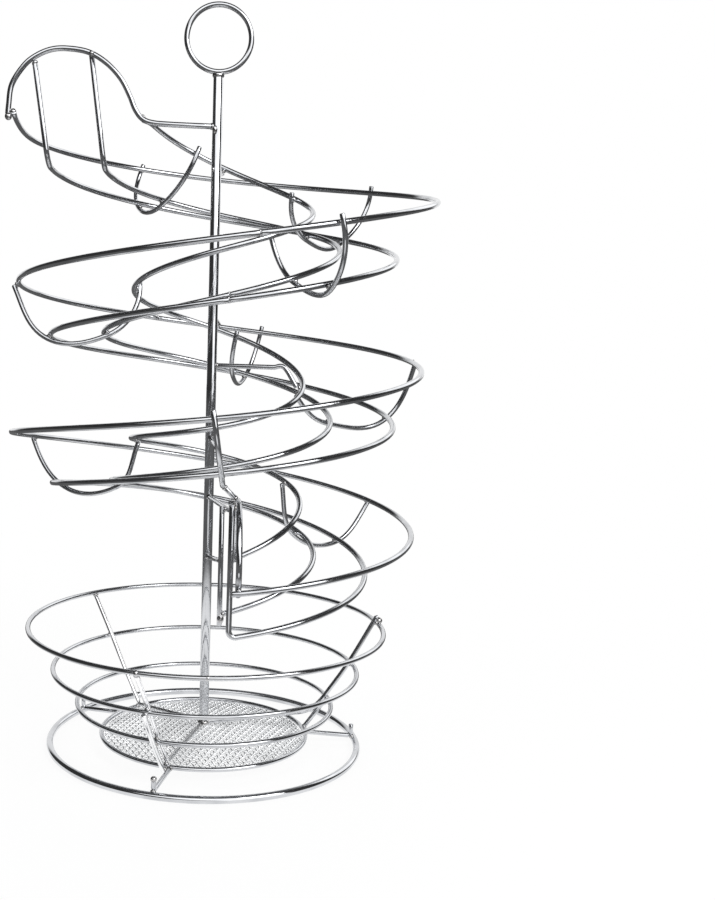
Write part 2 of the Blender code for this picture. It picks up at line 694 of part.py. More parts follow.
def floor_mesh():
    """The woven floor: a lattice, crowned a little and cut round to fit inside the rim."""
    edge = RIM_RADIUS - BASKET_DIAMETER / 2 - WELD_GAP
    count = math.ceil(edge / MESH_PITCH)
    lines = []
    for number in range(-count, count + 1):
        lines += [number * MESH_PITCH - MESH_WIRE / 2, number * MESH_PITCH + MESH_WIRE / 2]
    mesh = bmesh.new()
    grid = [[mesh.verts.new((x, y, 0)) for y in lines] for x in lines]
    for i in range(len(lines) - 1):
        for j in range(len(lines) - 1):
            if i % 2 == 0 or j % 2 == 0:
                corners = (grid[i][j], grid[i + 1][j], grid[i + 1][j + 1], grid[i][j + 1])
                mesh.faces.new(corners)
    sheet = bmesh.ops.extrude_face_region(mesh, geom=list(mesh.faces))
    raised = [item for item in sheet["geom"] if isinstance(item, bmesh.types.BMVert)]
    bmesh.ops.translate(mesh, vec=UP * MESH_THICKNESS, verts=raised)
    bmesh.ops.recalc_face_normals(mesh, faces=mesh.faces)
    floor = RIM_HEIGHT - MESH_DROP - MESH_THICKNESS / 2
    for vert in mesh.verts:
        out_share = (vert.co.x**2 + vert.co.y**2) / edge**2
        vert.co.z += floor + MESH_DOME * (1 - out_share)
    data = bpy.data.meshes.new("floor_mesh")
    mesh.to_mesh(data)
    mesh.free()
    lattice = show("floor_mesh", data, roughness=MESH_ROUGHNESS)

    round_cut = bmesh.new()
    bmesh.ops.create_cone(
        round_cut,
        cap_ends=True,
        segments=RING_STEPS,
        radius1=edge * math.cos(math.pi / RING_STEPS),
        radius2=edge * math.cos(math.pi / RING_STEPS),
        depth=RIM_RADIUS,
    )
    cutter_data = bpy.data.meshes.new("round_cut")
    round_cut.to_mesh(cutter_data)
    round_cut.free()
    cutter = bpy.data.objects.new("round_cut", cutter_data)
    cutter.hide_render = True
    cutter.display_type = "WIRE"
    bpy.context.scene.collection.objects.link(cutter)
    cut = lattice.modifiers.new("round", "BOOLEAN")
    cut.operation = "INTERSECT"
    cut.solver = "EXACT"
    cut.object = cutter


clear_scene()
post_and_handle()
entrance()
hoops(*track())
post_stays()
bent_stay()
basket()
floor_mesh()
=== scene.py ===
import math
from itertools import combinations

import bmesh
import bpy
import numpy as np
from mathutils import Matrix, Vector


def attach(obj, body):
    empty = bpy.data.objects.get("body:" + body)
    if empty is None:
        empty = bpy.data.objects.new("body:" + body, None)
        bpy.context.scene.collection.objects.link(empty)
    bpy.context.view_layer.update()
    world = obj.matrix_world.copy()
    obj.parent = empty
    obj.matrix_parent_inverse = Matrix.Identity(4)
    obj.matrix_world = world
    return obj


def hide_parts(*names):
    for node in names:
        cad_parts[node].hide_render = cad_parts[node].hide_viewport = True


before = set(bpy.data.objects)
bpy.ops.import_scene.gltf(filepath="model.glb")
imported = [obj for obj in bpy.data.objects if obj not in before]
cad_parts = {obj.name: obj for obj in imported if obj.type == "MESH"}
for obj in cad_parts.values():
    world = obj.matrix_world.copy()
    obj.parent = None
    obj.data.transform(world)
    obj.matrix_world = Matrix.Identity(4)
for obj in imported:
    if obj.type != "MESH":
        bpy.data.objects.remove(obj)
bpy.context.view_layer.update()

scene = bpy.context.scene
up = Vector((0, 0, 1))
back = Vector((0, 1, 0))
right = Vector((1, 0, 0))

thick = {  # diameters of the drawn wires, metres
    "post": 0.0050,
    "foot": 0.0038,
    "rail": 0.0028,
    "arch": 0.0028,
    "handle": 0.0028,
    "hoop": 0.0025,
    "stay": 0.0025,
    "basket": 0.0025,
    "bracket": 0.0025,
    "end": 0,
}
weldGap = 0.0003  # between two welded wires, filled by their weld
bendReach = 0.36  # share of a bend's chord that the handles at its two ends reach
ringPointCount = 180

runs = {}  # each wire: the points of its middle line, which wire it is, closed or not


def smoothShare(shares, at):  # natural cubic through evenly spaced shares
    last = len(shares) - 1
    bends = np.zeros(last + 1)
    system = 4 * np.eye(last - 1) + np.eye(last - 1, k=1) + np.eye(last - 1, k=-1)
    bends[1:last] = np.linalg.solve(system, 6 * np.diff(shares, 2))
    low = min(max(int(at), 0), last - 1)
    after = at - low
    before = 1 - after
    bent = bends[low] * (before**3 - before) + bends[low + 1] * (after**3 - after)
    return shares[low] * before + shares[low + 1] * after + bent / 6


def curveThrough(points, steps=8):  # smooth run through all the points
    points = [Vector(point) for point in points]
    ends = [2 * points[0] - points[1], *points, 2 * points[-1] - points[-2]]
    run = []
    for a, b, c, d in zip(ends, ends[1:], ends[2:], ends[3:]):
        for step in range(steps):
            t = step / steps
            run.append(b + (c - a) * t / 2 + (2 * a - 5 * b + 4 * c - d) * t**2 / 2
                       + (3 * b - a - 3 * c + d) * t**3 / 2)
    return [*run, points[-1]]


def bendBetween(start, startWay, end, endWay, steps=14):  # round bend, without its last point
    reach = (end - start).length * bendReach
    a = start + startWay * reach
    b = end - endWay * reach
    run = []
    for step in range(steps):
        t = step / steps
        s = 1 - t
        run.append(start * s**3 + 3 * a * s**2 * t + 3 * b * s * t**2 + end * t**3)
    return run


def apart(first, second):  # from middle to middle of two wires welded side by side
    return (thick[first] + thick[second]) / 2 + weldGap


def addRun(name, points, wire, closed=False):
    runs[name] = {"points": [Vector(point) for point in points], "wire": wire, "closed": closed}


# The track: four rails bent by hand, with one share a quarter turn for drop and radius
trackShape = {
    "x": 0.0040,
    "y": -0.0015,
    "top": 0.3182,
    "pitch": 0.0770,
    "pointsPerTurn": 150,
    "exitTurns": 2.735,  # where the track ends, about
    "slopeTurns": 0.002,  # turns either way of a point, for a rail's slope there
    "searchTurns": 0.12,  # turns either way of a guess, for the place where a rail crosses a plane
    "halvings": 40,
    "outer_top": {
        "radius": 0.1030,
        "below": 0,  # metres below the top rails
        "drop": (0, 0.175, 0.40, 0.74, 1.01, 1.275, 1.485, 1.732, 1.985, 2.315, 2.58, 2.76, 2.98),
        "wander": (1.015, 1.03, 1.03, 1.01, 0.985, 0.985, 0.99, 1.005, 1.02, 1, 0.98, 0.97, 0.965),
        "joints": (0.73, 1.195),  # turns at which its lengths meet
    },
    "inner_top": {
        "radius": 0.0440,
        "below": 0,
        "drop": (-0.22, 0.17, 0.495, 0.77, 1.03, 1.285, 1.61, 1.86, 2.005, 2.175, 2.415, 2.74, 3.03),
        "wander": (1.04, 0.96, 1.02, 1.015, 1.005, 0.985, 0.97, 1, 1.015, 1.005, 0.985, 0.98, 0.98),
        "joints": (1.12,),
    },
    "outer_bottom": {
        "radius": 0.0870,
        "below": 0.0240,
        "drop": (-0.08, 0.17, 0.455, 0.77, 1.03, 1.28, 1.545, 1.765, 2.003, 2.25, 2.55, 2.795, 3.045),
        "wander": (1.01, 1.01, 1.005, 1, 0.987, 1.015, 1.025, 1.005, 0.97, 0.935, 0.90, 0.89, 0.885),
        "joints": (0.748, 1.415),
    },
    "inner_bottom": {
        "radius": 0.0580,
        "below": 0.0240,
        "drop": (-0.08, 0.165, 0.42, 0.745, 1.005, 1.24, 1.535, 1.785, 1.983, 2.205, 2.45, 2.735, 3.01),
        "wander": (1.04, 1.03, 1.02, 1.015, 1.02, 1.005, 0.99, 0.97, 0.94, 0.91, 0.885, 0.87, 0.865),
        "joints": (0.744,),
    },
}


def onRail(rail, turns):  # the place of a rail's middle, so many turns from the start
    shape = trackShape[rail]
    quarters = turns * 4
    angle = turns * 2 * math.pi
    radius = shape["radius"] * smoothShare(shape["wander"], quarters)
    drop = trackShape["pitch"] * smoothShare(shape["drop"], quarters)
    x = trackShape["x"] - radius * math.cos(angle)
    y = trackShape["y"] + radius * math.sin(angle)
    return Vector((x, y, trackShape["top"] - shape["below"] - drop))


def alongRail(rail, turns):  # the way it runs there, downhill
    step = trackShape["slopeTurns"]
    return (onRail(rail, turns + step) - onRail(rail, turns - step)).normalized()


def turnsAt(rail, place, normal, turns):  # where a rail crosses a plane
    low = turns - trackShape["searchTurns"]
    high = turns + trackShape["searchTurns"]
    side = (onRail(rail, low) - place).dot(normal) > 0
    for halving in range(trackShape["halvings"]):
        middle = (low + high) / 2
        if ((onRail(rail, middle) - place).dot(normal) > 0) == side:
            low = middle
        else:
            high = middle
    return (low + high) / 2


def addRail(rail, start, end, before=(), after=()):  # its butt-welded lengths, with their bent ends
    shape = trackShape[rail]
    halfGap = weldGap / (4 * math.pi * shape["radius"])
    firsts = [start, *(joint + halfGap for joint in shape["joints"])]
    lasts = [*(joint - halfGap for joint in shape["joints"]), end]
    names = {2: ("upper", "lower"), 3: ("upper", "middle", "lower")}[len(firsts)]
    for number, (name, first, last) in enumerate(zip(names, firsts, lasts)):
        count = max(2, round((last - first) * trackShape["pointsPerTurn"]))
        run = [onRail(rail, first + (last - first) * step / count) for step in range(count + 1)]
        if number == 0:
            run = [*before, *run]
        if number == len(names) - 1:
            run = [*run, *after]
        addRun(f"{rail}_rail_{name}", run, "rail")


# The two arches; an outline's points are shares of the way to the inner rail and of the rise
archShape = {
    "rise": 0.0373,
    "slopeShare": 0.02,  # share of the width either way of a point, for the arch's slope there
    "end": 0.0016,  # how far the exit arch's ends reach past the rails' middles
    "tailRise": 0.0021,
    "barTop": 0.0014,  # how far a bar's top stands above the arch's middle
    "outline": ((-0.015, 0.10), (-0.045, 0.26), (-0.020, 0.52), (0.075, 0.76), (0.170, 0.89),
                (0.295, 0.98), (0.430, 1.00), (0.600, 0.96), (0.745, 0.83), (0.860, 0.64),
                (0.935, 0.42), (0.980, 0.25)),
    "wide": 1.032,  # the entrance arch's width as a share of the track's
    "foot": (-0.052, 0.14),
    "tail": ((1.04, 0.13), (1.13, 0.08), (1.30, 0.065)),
    "railStart": (1.034, 0.161),  # where the inner top rail sets off
    "startTip": 0.0022,  # how far the outer top rail reaches past the arch's foot
    "startWays": {"outer_top": (0.05, 0.93, -0.36), "inner_top": (0.10, 0.97, -0.20)},
    "startTurns": {"outer_top": 0.07, "inner_top": 0.10},  # where they have joined their own bends
    "stopShares": {"outer_bottom": 0.161, "inner_bottom": 0.617},  # where on the arch they stop
    "stopTurns": 0.01,  # where they turn up to it, about
    "stopBend": 0.0080,
}


def archUp(share):  # share of an arch's rise at a share of its width, on its crown
    crown = [point for point in archShape["outline"] if point[0] > 0]
    return float(np.interp(share, [way for way, rise in crown], [rise for way, rise in crown]))


def archWay(place, share):  # the way an arch runs there
    step = archShape["slopeShare"]
    before, after = (place(at, archUp(at)) for at in (share - step, share + step))
    return (after - before).normalized()


def shortOf(other, wire, way, otherWay):  # from another wire's middle to a cut end that just clears it
    slant = abs(way.dot(otherWay))
    return (thick[other] / 2 + weldGap + thick[wire] / 2 * slant) / math.sqrt(1 - slant**2)


def layEntrance():
    outer = onRail("outer_top", 0)
    width = (trackShape["outer_top"]["radius"] - trackShape["inner_top"]["radius"]) * archShape["wide"]

    def place(way, rise):
        return outer + right * width * way + up * archShape["rise"] * rise

    foot = place(*archShape["foot"])
    points = [place(way, rise) for way, rise in (*archShape["outline"][1:], *archShape["tail"])]
    tail = outer + up * archShape["tailRise"]
    tail.x = -apart("post", "end")
    addRun("entrance_arch", [*curveThrough([foot, *points]), tail], "arch")

    # the outer top rail sets off beside the arch's foot, the inner one from behind its tail
    beside = apart("arch", "rail")
    ways = {rail: Vector(way).normalized() for rail, way in archShape["startWays"].items()}
    tailWay = (place(*archShape["tail"][0]) - place(*archShape["outline"][-1])).normalized()
    behind = ways["inner_top"] * shortOf("arch", "rail", ways["inner_top"], tailWay)
    firsts = {
        "outer_top": foot + right * beside - ways["outer_top"] * archShape["startTip"],
        "inner_top": place(*archShape["railStart"]) + behind,
    }
    starts = dict(archShape["startTurns"])
    bends = {}
    for rail, turns in archShape["startTurns"].items():
        bends[rail] = bendBetween(firsts[rail], ways[rail], onRail(rail, turns), alongRail(rail, turns))

    # the bottom rails turn up: the outer one ends under the arch, the inner one behind it
    for rail, share in archShape["stopShares"].items():
        bendPlace = outer + back * archShape["stopBend"]
        starts[rail] = turnsAt(rail, bendPlace, back, archShape["stopTurns"])
        top = place(share, archUp(share))
        corner = onRail(rail, 0)
        if rail == "outer_bottom":
            down = (corner - top).normalized()
            top += down * shortOf("arch", "rail", down, archWay(place, share))
        else:
            top += back * beside + up * archShape["barTop"]
            corner += back * beside
        bendStart = corner.lerp(top, archShape["stopBend"] / (top - corner).length)
        down = (corner - top).normalized()
        railStart = onRail(rail, starts[rail])
        bends[rail] = [top, *bendBetween(bendStart, down, railStart, alongRail(rail, starts[rail]))]
    return starts, bends


# The exit: its arch, the cross wire and stop bar beside it, and the stay that holds the bar
exitShape = {
    "x": 0.0120,
    "bend": 0.0035,
    "lean": 0.0055,  # how far the outer bottom rail's bar stands forward at its top
    "crossDrop": 0.0095,  # the cross wire leaves the post this far below the arch's crown
    "crossShares": (0.76, 0.62),  # where along the arch it lies
    "crossSteps": 12,
    "hangerShare": 0.45,
    "barEnd": 0.0060,  # how far the stop bar reaches below the inner bottom rail
    "stayDrop": 0.0040,  # the stay leaves the post this far below the outer top rail
    "stayRise": 0.0080,
}


def layExit(starts, bends):
    beside = apart("arch", "rail")
    turns = trackShape["exitTurns"]
    plane = Vector((exitShape["x"], 0, 0))
    outer = onRail("outer_top", turnsAt("outer_top", plane, right, turns)) + back * beside
    outerEnd = turnsAt("outer_top", plane - right * beside, right, turns)
    innerEnd = turnsAt("inner_top", plane + right * apart("arch", "end"), right, turns)
    inner = onRail("inner_top", innerEnd)
    inner.x = exitShape["x"]
    addRail("outer_top", starts["outer_top"], outerEnd, bends["outer_top"])
    addRail("inner_top", starts["inner_top"], innerEnd, bends["inner_top"])

    def place(way, rise):
        y = outer.y + (inner.y - outer.y) * way
        return Vector((exitShape["x"], y, outer.z + archShape["rise"] * rise))

    points = [outer - up * archShape["end"], outer]
    points += [place(way, rise) for way, rise in archShape["outline"]]
    points += [inner, inner - up * archShape["end"]]
    addRun("exit_arch", curveThrough(points), "arch")

    # the outer bottom rail turns up beside the arch
    barX = exitShape["x"] - beside
    bend = turnsAt("outer_bottom", Vector((barX + exitShape["bend"], 0, 0)), right, turns)
    foot = onRail("outer_bottom", turnsAt("outer_bottom", Vector((barX, 0, 0)), right, turns))
    topY = foot.y - exitShape["lean"]
    share = (topY - outer.y) / (inner.y - outer.y)
    top = Vector((barX, topY, outer.z + archShape["rise"] * archUp(share) + archShape["barTop"]))
    rise = (top - foot).normalized()
    bendEnd = foot + rise * exitShape["bend"]
    turnUp = bendBetween(onRail("outer_bottom", bend), alongRail("outer_bottom", bend), bendEnd, rise)
    after = [*turnUp[1:], bendEnd, top]
    addRail("outer_bottom", starts["outer_bottom"], bend, bends["outer_bottom"], after)

    # a wire from the post runs along the arch's inner shoulder
    crossHeight = outer.z + archShape["rise"] - exitShape["crossDrop"]
    crossStart = Vector((0, -apart("post", "end"), crossHeight))
    side = right * apart("arch", "stay")
    near, far = (place(share, archUp(share)) - side for share in exitShape["crossShares"])
    addRun("exit_cross_wire", curveThrough([crossStart, near, far], exitShape["crossSteps"]), "stay")

    # the inner bottom rail stops against an upright bar beside that wire
    barY = onRail("inner_bottom", turns).y
    crossing = crossStart.lerp(near, (barY - crossStart.y) / (near.y - crossStart.y))
    skew = math.hypot(near.x - crossStart.x, near.y - crossStart.y) / abs(near.y - crossStart.y)
    stopX = crossing.x - apart("stay", "stay") * skew
    end = turnsAt("inner_bottom", Vector((stopX + apart("stay", "end"), 0, 0)), right, turns)
    railEnd = onRail("inner_bottom", end)
    addRail("inner_bottom", starts["inner_bottom"], end, bends["inner_bottom"])
    barTop = Vector((stopX, railEnd.y, crossing.z + archShape["barTop"]))
    barEnd = Vector((stopX, railEnd.y, railEnd.z - exitShape["barEnd"]))
    addRun("exit_stop_bar", [barTop, barEnd], "stay")

    height = outer.z - exitShape["stayDrop"]
    way = Vector((stopX, railEnd.y, 0)).normalized()
    stayEnd = Vector((stopX, railEnd.y, height + exitShape["stayRise"])) - way * apart("stay", "end")
    addRun("exit_post_stay", [way * apart("post", "end") + up * height, stayEnd], "stay")
    share = exitShape["hangerShare"]
    return place(share, archUp(share)), archWay(place, share)


# The hoops: turns on the outer and inner top rail, uphill lean of the bottom, outer and inner tip
hoopShape = {
    "places": ((0.182, 0.1935, 0.15, "beside", "beside"), (0.390, 0.415, 0, "beside", "beside"),
               (0.675, 0.664, 0, "beside", "beside"), (0.994, 0.985, 0.15, "under", "beside"),
               (1.291, 1.288, 0, "beside", "beside"), (1.477, 1.540, 0.12, "under", "under"),
               (1.757, 1.760, 0, "beside", "beside"), (2.060, 2.036, 0, "under", "under"),
               (2.410, 2.418, -0.22, "under", "under")),
    "bottomDegrees": 65,  # how far under a bottom rail the hoop touches it
    "tipDegrees": {"beside": 0, "under": 25},
    "tipLength": {"beside": 0.0036, "under": 0.00036},
    "exitHoop": 7,  # the hoop that the hanger and the lower stay meet
    "stayShare": 0.86,
}


def hoopRun(outerTurns, innerTurns, lean, outerTip, innerTip):
    outer = onRail("outer_top", outerTurns)
    inner = onRail("inner_top", innerTurns)
    inward = (inner - outer).normalized()
    downhill = alongRail("outer_top", outerTurns) + alongRail("inner_top", innerTurns)
    down = downhill.cross(inward).normalized()
    down = (down - downhill.normalized() * lean).normalized()
    tips = hoopShape["tipDegrees"]
    corners = []
    for rail, turns, side, degrees in (
        ("outer_top", outerTurns, -1, tips[outerTip]),
        ("outer_bottom", None, -1, hoopShape["bottomDegrees"]),
        ("inner_bottom", None, 1, hoopShape["bottomDegrees"]),
        ("inner_top", innerTurns, 1, tips[innerTip]),
    ):
        if turns is None:
            turns = turnsAt(rail, outer, inward.cross(down), (outerTurns + innerTurns) / 2)
        angle = math.radians(degrees)
        outward = inward * side * math.cos(angle) + down * math.sin(angle)
        way = inward * math.sin(angle) - down * side * math.cos(angle)
        across = alongRail(rail, turns).cross(way)  # the rail slants past the hoop
        reach = apart("rail", "hoop") * across.length / abs(across.dot(outward))
        corners.append((onRail(rail, turns) + outward * reach, way))
    points = [corners[0][0] - corners[0][1] * hoopShape["tipLength"][outerTip]]
    for (start, startWay), (end, endWay) in zip(corners, corners[1:]):
        points += bendBetween(start, startWay, end, endWay)
    last, way = corners[-1]
    return [*points, last, last + way * hoopShape["tipLength"][innerTip]]


def layHoops(archTop, topWay):
    for number, place in enumerate(hoopShape["places"], 1):
        addRun(f"track_hoop_{number}", hoopRun(*place), "hoop")
    front = runs[f"track_hoop_{hoopShape['exitHoop']}"]["points"]
    middle = len(front) // 2
    bottom = front[middle]
    bottomWay = (front[middle + 1] - front[middle - 1]).normalized()
    way = (archTop - bottom).normalized()
    low = bottom + way * shortOf("hoop", "stay", way, bottomWay)
    addRun("exit_hanger", [low, archTop - way * shortOf("arch", "stay", way, topWay)], "stay")
    leg = front[round((len(front) - 1) * hoopShape["stayShare"])]
    way = Vector((leg.x, leg.y, 0)).normalized()
    start = way * apart("post", "end") + up * leg.z
    addRun("lower_post_stay", [start, leg - way * apart("hoop", "end")], "stay")


# The stays from the post to the inner top rail
stayShape = {
    "upper_post_stay": (0.25, -1, 0),  # turns from the start, under (-1) or over (1) the rail, rise
    "middle_post_stay": (1.25, 1, 0.0050),
    "past": 0.0020,  # how far a stay reaches past the rail's middle
    "bentTurns": 1.524,
    "bentRise": 0.0100,
    "bentSteps": 12,
    "knee": 0.84,  # share of the way out where the bent stay turns down
}


def layStays():
    for name in ("upper_post_stay", "middle_post_stay"):
        turns, over, rise = stayShape[name]
        seat = onRail("inner_top", turns)
        way = Vector((seat.x, seat.y, 0)).normalized()
        slope = alongRail("inner_top", turns)
        lift = over * apart("rail", "stay") / math.hypot(slope.x, slope.y)
        start = way * apart("post", "end") + up * (seat.z + lift + rise)
        addRun(name, [start, seat + up * lift + way * stayShape["past"]], "stay")
    rail = onRail("inner_top", stayShape["bentTurns"])
    way = Vector((rail.x, rail.y, 0)).normalized()
    seat = rail - way * apart("rail", "stay")
    start = way * apart("post", "end") + up * (rail.z + stayShape["bentRise"])
    knee = start.lerp(seat, stayShape["knee"])
    knee.z = start.z
    level = start.lerp(knee, stayShape["knee"])
    bent = curveThrough([level, knee, seat], stayShape["bentSteps"])
    addRun("bent_post_stay", [start, *bent], "stay")


# The post, with the heights of its two ends, and the handle that stands on it
postShape = {"foot": 0.0105, "top": 0.3450, "handleRadius": 0.01595}


def ringPoints(radius, middle, turn=Matrix.Identity(3)):
    points = []
    for step in range(ringPointCount):
        angle = step * 2 * math.pi / ringPointCount
        out = Vector((math.cos(angle), math.sin(angle), 0)) * radius
        points.append(Vector(middle) + turn @ out)
    return points


def layPost():
    addRun("centre_post", [up * postShape["foot"], up * postShape["top"]], "post")
    middle = up * (postShape["top"] + apart("handle", "end") + postShape["handleRadius"])
    turn = Matrix.Rotation(math.pi / 2, 3, "X")
    addRun("handle_ring", ringPoints(postShape["handleRadius"], middle, turn), "handle", True)


# The basket: ribs, struts and brackets stand round it, in degrees from the right
basketShape = {
    "rings": {  # radius and height
        "floor_rim": (0.0545, 0.0060),
        "basket_lower_ring": (0.0675, 0.0233),
        "basket_middle_ring": (0.0803, 0.0420),
        "basket_top_ring": (0.0933, 0.0650),
    },
    "footRadius": 0.0818,
    "ribDegrees": {"left": 133, "front": -111, "right": 5},
    "strutDegrees": {"front": -111, "right": 7.5},
    "bracketDegrees": {"left": 148, "front": -108, "right": 2.5},
    "armRise": 0.0020,  # a rib meets the post this far above the floor's crown
    "armBend": (0.0520, 0, 0.0162),  # where the right rib has turned in: out from the post, height
    "ribTip": 0.0026,
    "strutTip": 0.0015,
    "bracketFootDegrees": 135,  # where a bracket stands on the foot ring: its upper inner side
    "bracketBend": 0.0020,
    "bracketCorner": 0.42,
    "bracketStub": 0.0065,
    "dome": 0.0036,  # how far the floor is crowned
}


def addTurned(name, points, degrees, wire):
    turn = Matrix.Rotation(math.radians(degrees), 3, "Z")
    addRun(name, [turn @ point for point in points], wire)


def layBasket():
    rings = list(basketShape["rings"].items())
    for name, (radius, height) in rings:
        addRun(name, ringPoints(radius, up * height), "basket", True)
    footHeight = thick["foot"] / 2
    addRun("foot_ring", ringPoints(basketShape["footRadius"], up * footHeight), "foot", True)

    # where a wire down the basket's side lies, inside the rings and outside them
    middles = [Vector((radius, 0, height)) for name, (radius, height) in rings]
    beside = apart("basket", "basket")
    inside = []
    outside = []
    slopes = []
    for number, middle in enumerate(middles):
        below = middles[max(number - 1, 0)]
        above = middles[min(number + 1, len(middles) - 1)]
        slope = (above - below).normalized()
        away = Vector((-slope.z, 0, slope.x)) * beside
        inside.append(middle + away)
        outside.append(middle - away)
        slopes.append(slope)

    # a rib runs down inside the rings and in to the post: two across the floor, one over it
    hubHeight = rings[0][1][1] + basketShape["dome"] + basketShape["armRise"]
    hub = Vector((apart("post", "end"), 0, hubHeight))
    underTop = middles[-1] - slopes[-1] * apart("basket", "end")
    lowRib = [*curveThrough([*inside[:-1], underTop])[::-1], hub]
    tip = inside[-1] + slopes[-1] * basketShape["ribTip"]
    level = Vector(basketShape["armBend"])
    turnIn = bendBetween(inside[1], -slopes[1], level, (hub - level).normalized())
    highRib = [*curveThrough([*inside[1:], tip])[:0:-1], *turnIn, level, hub]
    strut = [*curveThrough(outside[:-1]), outside[-2] + slopes[-2] * basketShape["strutTip"]]
    climb = (middles[1] - middles[0]).normalized() * apart("basket", "end")
    shortStrut = [middles[0] + climb, middles[1] - climb]

    # a bracket runs from the floor rim's side out to the foot ring, then turns up
    angle = math.radians(basketShape["bracketFootDegrees"])
    reach = apart("foot", "bracket") - basketShape["bracketBend"] * basketShape["bracketCorner"]
    foot = Vector((basketShape["footRadius"], 0, footHeight))
    corner = foot + Vector((math.cos(angle), 0, math.sin(angle))) * reach
    out = (corner - middles[0]).normalized()
    bendEnd = corner + up * basketShape["bracketBend"]
    bend = bendBetween(corner - out * basketShape["bracketBend"], out, bendEnd, up)
    start = middles[0] + out * apart("basket", "end")
    bracket = [start, *bend, bendEnd, corner + up * basketShape["bracketStub"]]

    ribs = {"left": lowRib, "front": lowRib, "right": highRib}
    struts = {"front": strut, "right": shortStrut}
    for side, turned in basketShape["bracketDegrees"].items():
        addTurned(f"foot_bracket_{side}", bracket, turned, "bracket")
    for side, turned in basketShape["ribDegrees"].items():
        addTurned(f"basket_rib_{side}", ribs[side], turned, "basket")
    for side, turned in basketShape["strutDegrees"].items():
        addTurned(f"basket_strut_{side}", struts[side], turned, "basket")


layPost()
starts, bends = layEntrance()
layHoops(*layExit(starts, bends))
layStays()
layBasket()
print("laid out", len(runs), "wires")


# Chrome plate: nearly a mirror, with cloudy plating, handling marks and small pits
chromeShape = {  # light and dull colour, least and most roughness, strength of the pits
    "chromed_wire": ((0.60, 0.61, 0.63), (0.46, 0.47, 0.49), (0.06, 0.16), 0.10),
    "bright_chrome": ((0.64, 0.65, 0.67), (0.50, 0.51, 0.53), (0.04, 0.12), 0.06),
    # a brighter copy of the chrome for the front ribs: a painted highlight where light falls on them
    "painted_highlight_chrome": ((0.94, 0.94, 0.95), (0.80, 0.81, 0.82), (0.06, 0.14), 0.08),
    "woven_wire": ((0.92, 0.93, 0.94), (0.70, 0.71, 0.72), (0.14, 0.26), 0.10),
    "weld": ((0.60, 0.60, 0.61), (0.40, 0.39, 0.38), (0.10, 0.30), 0.30),
}
plateShape = {
    "clouds": (55, 4),  # scale and detail: clouds a few centimetres across
    "cloudRange": (0.34, 0.56),
    "wear": (420, 6),  # handling marks, a few millimetres across
    "wearRange": (0.35, 0.7),
    "pits": (700, 2),  # the drawn wire's uneven surface
    "pitDepth": 0.0002,
}


def makeChrome(name):
    light, dull, roughness, pitted = chromeShape[name]
    material = bpy.data.materials.new(name)
    material.use_nodes = True
    nodes = material.node_tree.nodes
    link = material.node_tree.links.new
    shader = nodes["Principled BSDF"]
    shader.inputs["Metallic"].default_value = 1
    place = nodes.new("ShaderNodeTexCoord").outputs["Object"]

    def noise(kind):
        node = nodes.new("ShaderNodeTexNoise")
        node.inputs["Scale"].default_value, node.inputs["Detail"].default_value = plateShape[kind]
        link(place, node.inputs["Vector"])
        return node.outputs["Fac"]

    tint = nodes.new("ShaderNodeValToRGB")
    for stop, position, colour in zip(tint.color_ramp.elements, plateShape["cloudRange"], (dull, light)):
        stop.position = position
        stop.color = (*colour, 1)
    link(noise("clouds"), tint.inputs["Fac"])
    link(tint.outputs["Color"], shader.inputs["Base Color"])

    rough = nodes.new("ShaderNodeMapRange")
    for side, least, share in zip(("Min", "Max"), roughness, plateShape["wearRange"]):
        rough.inputs[f"From {side}"].default_value = share
        rough.inputs[f"To {side}"].default_value = least
    link(noise("wear"), rough.inputs["Value"])
    link(rough.outputs["Result"], shader.inputs["Roughness"])

    bump = nodes.new("ShaderNodeBump")
    bump.inputs["Strength"].default_value = pitted
    bump.inputs["Distance"].default_value = plateShape["pitDepth"]
    link(noise("pits"), bump.inputs["Height"])
    link(bump.outputs["Normal"], shader.inputs["Normal"])
    return material


chromes = {name: makeChrome(name) for name in chromeShape}
print("plated", len(chromes), "finishes")


def addObject(name, data):
    piece = bpy.data.objects.new(name, data)
    scene.collection.objects.link(piece)
    return piece


def meshOf(name, shape):
    mesh = bpy.data.meshes.new(name)
    shape.to_mesh(mesh)
    shape.free()
    mesh.shade_smooth()
    return mesh


def roundCurve(name, diameter, roundness):
    curve = bpy.data.curves.new(name, "CURVE")
    curve.dimensions = "3D"
    curve.bevel_depth = diameter / 2
    curve.bevel_resolution = roundness
    curve.use_fill_caps = True
    return curve


def dress(piece, slot, finish=None):
    piece.data.materials.clear()
    piece.data.materials.append(chromes[finish or slot])
    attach(piece, "root")


def slotOf(name):
    return "bright_chrome" if name in ("centre_post", "foot_ring", "handle_ring") else "chromed_wire"


def finishOf(name):  # the ribs at the front and left, and the front strut, get a brighter copy of the rings' chrome: a painted highlight
    paintedBright = ("basket_rib_front", "basket_rib_left", "basket_strut_front")
    return "painted_highlight_chrome" if name in paintedBright else slotOf(name)


# Wires: round, with sheared ends that the plating has softened
wireShape = {
    "roundness": 6,
    "softEnd": ((0, 0.70), (0.10, 0.90), (0.28, 1)),  # how far in, how thick: shares of the radius
    "ringSides": 20,
    "ringSteps": 144,
    "mergeWithin": 0.00001,
}


def softenEnds(points, radius):
    knots = [(point, 1) for point in points]
    for side in range(2):  # the first end, then, turned round, the last
        end, after = knots[0][0], knots[1][0]
        way = (after - end).normalized()
        knots[0:1] = [(end + way * radius * inward, share) for inward, share in wireShape["softEnd"]]
        knots.reverse()
    return knots


def makeWire(name, run):
    diameter = thick[run["wire"]]
    curve = roundCurve(name, diameter, wireShape["roundness"])
    spline = curve.splines.new("POLY")
    knots = softenEnds(run["points"], diameter / 2)
    spline.points.add(len(knots) - 1)
    for knot, (point, share) in zip(spline.points, knots):
        knot.co = (*point, 1)
        knot.radius = share
    return addObject(name, curve)


